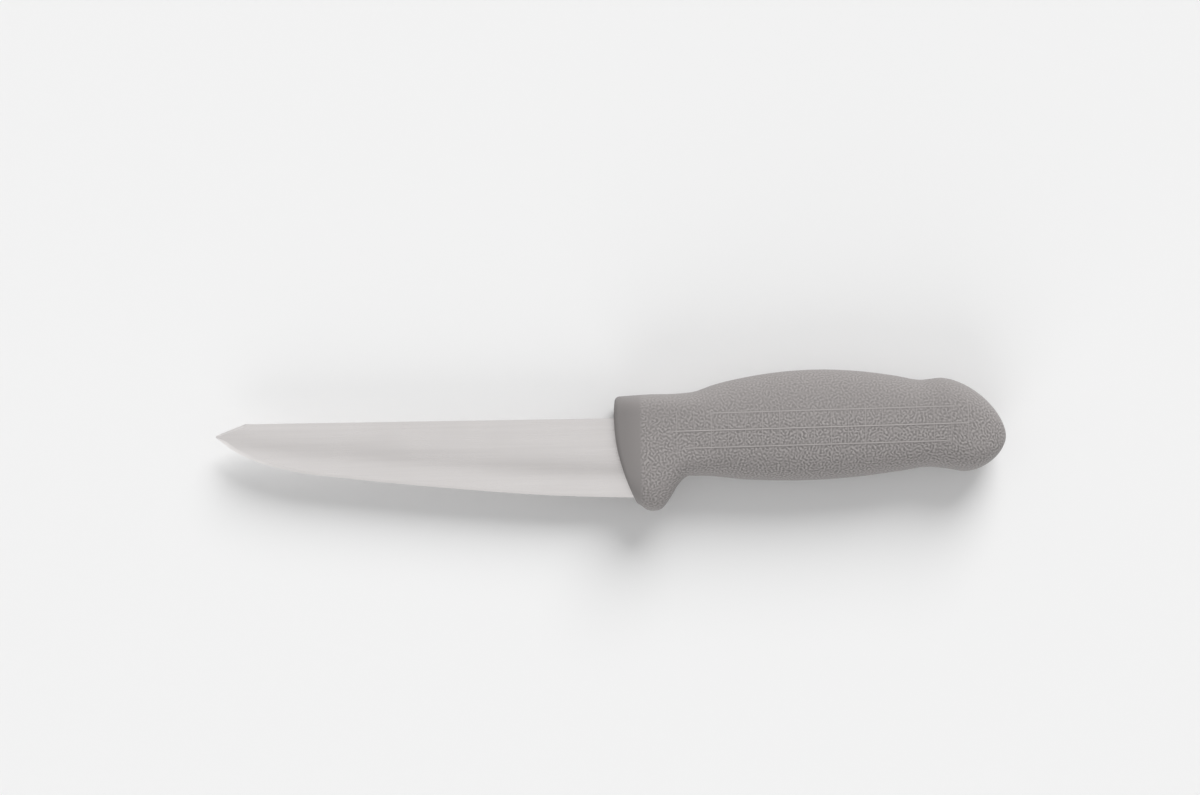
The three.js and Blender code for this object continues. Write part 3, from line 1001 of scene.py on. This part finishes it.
def worm_grain(tree):
    """Height of the worms on the skin of the handle, cut down beside the raised lines."""
    along = attribute(tree, "skin_length")
    round_skin = attribute(tree, "skin_girth")
    skin = node(tree, "ShaderNodeCombineXYZ", X=along, Y=round_skin).outputs[0]
    stray = node(tree, "ShaderNodeTexNoise", Vector=skin, Scale=GRAIN_WANDER_SCALE, Detail=0.0)
    reach = (GRAIN_WANDER, GRAIN_WANDER, 0.0)
    bent = node(tree, "ShaderNodeVectorMath", _0=stray.outputs["Color"], _1=reach, _2=skin)
    bent.operation = "MULTIPLY_ADD"
    grain = node(tree, "ShaderNodeTexGabor", Vector=bent.outputs[0], Anisotropy=0.0)
    grain.inputs["Frequency"].default_value = GRAIN_FREQUENCY
    grain.inputs["Scale"].default_value = 1 / GRAIN_FREQUENCY
    worms = between(tree, grain.outputs["Value"], GRAIN_RANGE)
    by_long = between(tree, attribute(tree, "from_long"), LONG_CLEAR_SPAN, LONG_CLEAR, 1.0)
    by_short = between(tree, attribute(tree, "from_short"), SHORT_CLEAR_SPAN, SHORT_CLEAR, 1.0)
    return product(tree, worms, by_long, by_short)


def grain_depth(tree, where, behind, line):
    """Depth of the grain: 1 on the side panels, less towards the rims and on the raised lines."""
    normal = tree.nodes.new("ShaderNodeNewGeometry").outputs["Normal"]
    sideways = maths(tree, "ABSOLUTE", parts(tree, normal)["Z"])
    return product(
        tree,
        behind,
        between(tree, sideways, GRAIN_FACING, GRAIN_FACING_DEPTH, 1.0),
        placed(tree, where, "Y", GRAIN_BACK_SPAN, 1.0, GRAIN_BACK_DEPTH),
        placed(tree, where, "X", GRAIN_FRONT_SPAN, GRAIN_FRONT_DEPTH, 1.0),
        between(tree, line, GRAIN_LINE_SPAN, 1.0, GRAIN_LINE_DEPTH),
    )


def grip_material():
    """Moulded grey plastic with a worm-like grain, smooth on the band behind the front; its colour
    carries painted shade in the grain's valleys and towards the front, and painted highlights on
    the raised lines.
    """
    material, tree, shader = new_material("grained_plastic")
    where = millimetres(tree)
    line = attribute(tree, "line")
    behind = placed(tree, where, "X", GRAIN_START)
    worms = worm_grain(tree)
    depth = grain_depth(tree, where, behind, line)
    fine = noise(tree, where, *GRIP_FINE)
    # the tone holds painted shade in the valleys and at the front, and a painted highlight on the
    # lines
    tone = weighted(
        tree,
        GRIP_TONE,
        (product(tree, maths(tree, "SUBTRACT", worms, GRAIN_LEVEL), depth), GRAIN_TONE_AND_SHADE),
        (placed(tree, where, "X", FRONT_SHADE_SPAN), FRONT_SHADE_TONE),
        (behind, FIELD_TONE),
        (noise(tree, where, *GRIP_CLOUDS), GRIP_CLOUD_TONE),
        (line, LINE_HIGHLIGHT_TONE),
    )
    colour = tinted(tree, tone, GRIP_DARK, GRIP_LIGHT)
    unevenness = [(worms, GRAIN_ROUGHNESS), (fine, GRIP_FINE_ROUGHNESS)]
    rough = weighted(tree, GRIP_ROUGHNESS, *unevenness)
    relief = weighted(tree, product(tree, worms, depth), (fine, GRIP_FINE_RELIEF))
    bump = node(
        tree, "ShaderNodeBump", Height=relief, Strength=GRAIN_BUMP, Distance=GRAIN_HEIGHT * MM
    )
    finished(tree, shader, colour, rough, bump)
    return material


def core_material():
    """Hard plastic of the core, with faint flow marks."""
    material, tree, shader = new_material("core_plastic")
    where = millimetres(tree)
    fine = noise(tree, where, *CORE_FINE)
    colour = tinted(tree, noise(tree, where, *CORE_FLOW), CORE_DARK, CORE_LIGHT)
    rough = weighted(tree, CORE_ROUGHNESS, (fine, CORE_FINE_ROUGHNESS))
    bump = node(
        tree, "ShaderNodeBump", Height=fine, Strength=CORE_BUMP, Distance=CORE_BUMP_HEIGHT * MM
    )
    finished(tree, shader, colour, rough, bump)
    return material


def grind_shade_and_highlight(x, y):
    """Strength of the painted shade along the grind: 1 in its middle, negative where highlights are
    painted.
    """
    edge = edge_height(x)
    spine = spine_height(x)
    over = y - edge - np.minimum(GRIND_SHADE_RISE, GRIND_SHADE_RISE_SHARE * (spine - edge))
    spread = np.where(over > 0, *GRIND_SHADE_SPREADS)
    tone_and_shade = np.exp(-(over / spread) ** 2) * (1 + HEEL_SHADING * smooth(x, *HEEL_SHADING_SPAN))
    tone_and_shade = tone_and_shade - POINT_HIGHLIGHT * fade(x + BLADE_LENGTH, POINT_HIGHLIGHT_LENGTH)
    tone_and_shade = tone_and_shade - GROUND_HIGHLIGHT * smooth(-over, *GROUND_HIGHLIGHT_SPAN)
    to_tip = fade(x + BLADE_LENGTH, TIP_BEVEL_LENGTH)
    in_bevel = 1 - (y - edge) / bevel_height(x)
    # painted highlight on the sharpened strip, and on the clip's bevel below
    sharpened = BEVEL_HIGHLIGHT * to_tip * mixed(SHARP_HIGHLIGHT_SHARES, in_bevel)
    in_shoulder = y > spine - shoulder_height(x) * (1 + BEVEL_MARGIN)
    clipped = in_shoulder & (x < CLIP_LENGTH - BLADE_LENGTH)
    return np.where(in_bevel > -BEVEL_MARGIN, sharpened, np.where(clipped, BEVEL_HIGHLIGHT, tone_and_shade))


def make_blade():
    """Blade with its tang and the holes in it."""
    piece = lofted("blade_steel", blade_rings())
    combined(piece, [lofted("tang", bar_rings(HEEL_DEPTH / 2, 0.0))], "UNION")
    pegs = [lofted("hole", peg_rings(x, TANG_HOLE_DIAMETER)) for x in TANG_HOLES]
    combined(piece, pegs, "DIFFERENCE")
    shaded(piece, BLADE_CREASE)
    x, y, _ = own_axes(piece).T
    painted(piece, "band", grind_shade_and_highlight(x, y))
    covered(piece, steel_material())
    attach(piece, "root")
    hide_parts("blade")


def make_grip():
    """Outer moulding of the handle, hollow for the core, the blade and the tang."""
    piece = lofted("grip_moulding", handle_rings())
    inside = [
        lofted("core_space", core_rings(GAP)),
        lofted("blade_slot", slot_rings(SLOT_GAP)),
        lofted("tang_space", bar_rings(HEEL_DEPTH / 2 - GAP, GAP)),
    ]
    combined(piece, inside, "DIFFERENCE")
    shaded(piece, GRIP_CREASE)
    x, y, z = own_axes(piece).T
    on_side = np.abs(z) > LINE_SIDE
    painted(piece, "line", line_relief(x, y) * on_side / LINE_HEIGHT)
    painted(piece, "from_long", from_long_line(x, y))
    painted(piece, "from_short", from_short_line(x, y))
    painted(piece, "skin_length", skin_length(x) / GRAIN_PITCH)
    painted(piece, "skin_girth", skin_girth(x, y) / GRAIN_PITCH)
    covered(piece, grip_material())
    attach(piece, "root")
    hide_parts("handle_grip")


def make_floor():
    """Plain pale floor."""
    half = FLOOR_SIZE / 2
    mesh = bpy.data.meshes.new("floor")
    corners = [(-half, -half, 0.0), (half, -half, 0.0), (half, half, 0.0), (-half, half, 0.0)]
    mesh.from_pydata(corners, [], [(0, 1, 2, 3)])
    floor = added("floor", mesh)
    material, _, shader = new_material("floor_paint")
    shader.inputs["Base Color"].default_value = (*FLOOR_COLOUR, 1.0)
    shader.inputs["Roughness"].default_value = FLOOR_ROUGHNESS
    mesh.materials.append(material)


def soft_sun(name, turn, elevation, spread, strength):
    """Soft light from one side, even all over the scene, which the blade doesn't mirror."""
    data = bpy.data.lights.new(name, "SUN")
    data.angle = math.radians(spread)
    data.energy = strength
    lamp = added(name, data)
    lamp.rotation_euler = (math.radians(90.0 - elevation), 0.0, math.radians(turn))
    lamp.visible_glossy = False


def make_world():
    """Even pale surroundings; as in a studio, what metal mirrors is darker towards the horizon."""
    world = bpy.data.worlds.new("studio")
    world.use_nodes = True
    bpy.context.scene.world = world
    tree = world.node_tree
    rays = tree.nodes.new("ShaderNodeLightPath").outputs
    direction = tree.nodes.new("ShaderNodeTexCoord").outputs["Generated"]
    low, high = (strength - WORLD_DIFFUSE for strength in WORLD_MIRRORED)
    mirrored_more = between(tree, parts(tree, direction)["Z"], WORLD_RISE, low, high)
    seen = maths(tree, "MAXIMUM", rays["Is Camera Ray"], rays["Is Transmission Ray"])
    strength = weighted(
        tree,
        WORLD_DIFFUSE,
        (seen, WORLD_SEEN - WORLD_DIFFUSE),
        (rays["Is Glossy Ray"], mirrored_more),
    )
    background = tree.nodes["Background"]
    background.inputs["Color"].default_value = (*WORLD_COLOUR, 1.0)
    tree.links.new(strength, background.inputs["Strength"])


def make_camera():
    """Camera above the knife, framed as in the photograph."""
    data = bpy.data.cameras.new("camera")
    data.sensor_width = SENSOR_WIDTH
    data.lens = SENSOR_WIDTH * CAMERA_DISTANCE / (PICTURE_WIDTH * MM)
    camera = added("camera", data)
    x, y = (np.array(PICTURE_CENTRE) + ORIGIN[:2]) * MM
    camera.location = (x, y, ORIGIN[2] * MM + CAMERA_DISTANCE)
    camera.rotation_euler = (0.0, 0.0, math.radians(-PICTURE_TURN))
    bpy.context.scene.camera = camera


make_blade()
make_grip()
covered(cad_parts["handle_core"], core_material())
make_floor()
make_world()
make_camera()
soft_sun("key", **KEY_LIGHT)
soft_sun("fill", **FILL_LIGHT)
bpy.context.scene.view_settings.view_transform = "Standard"
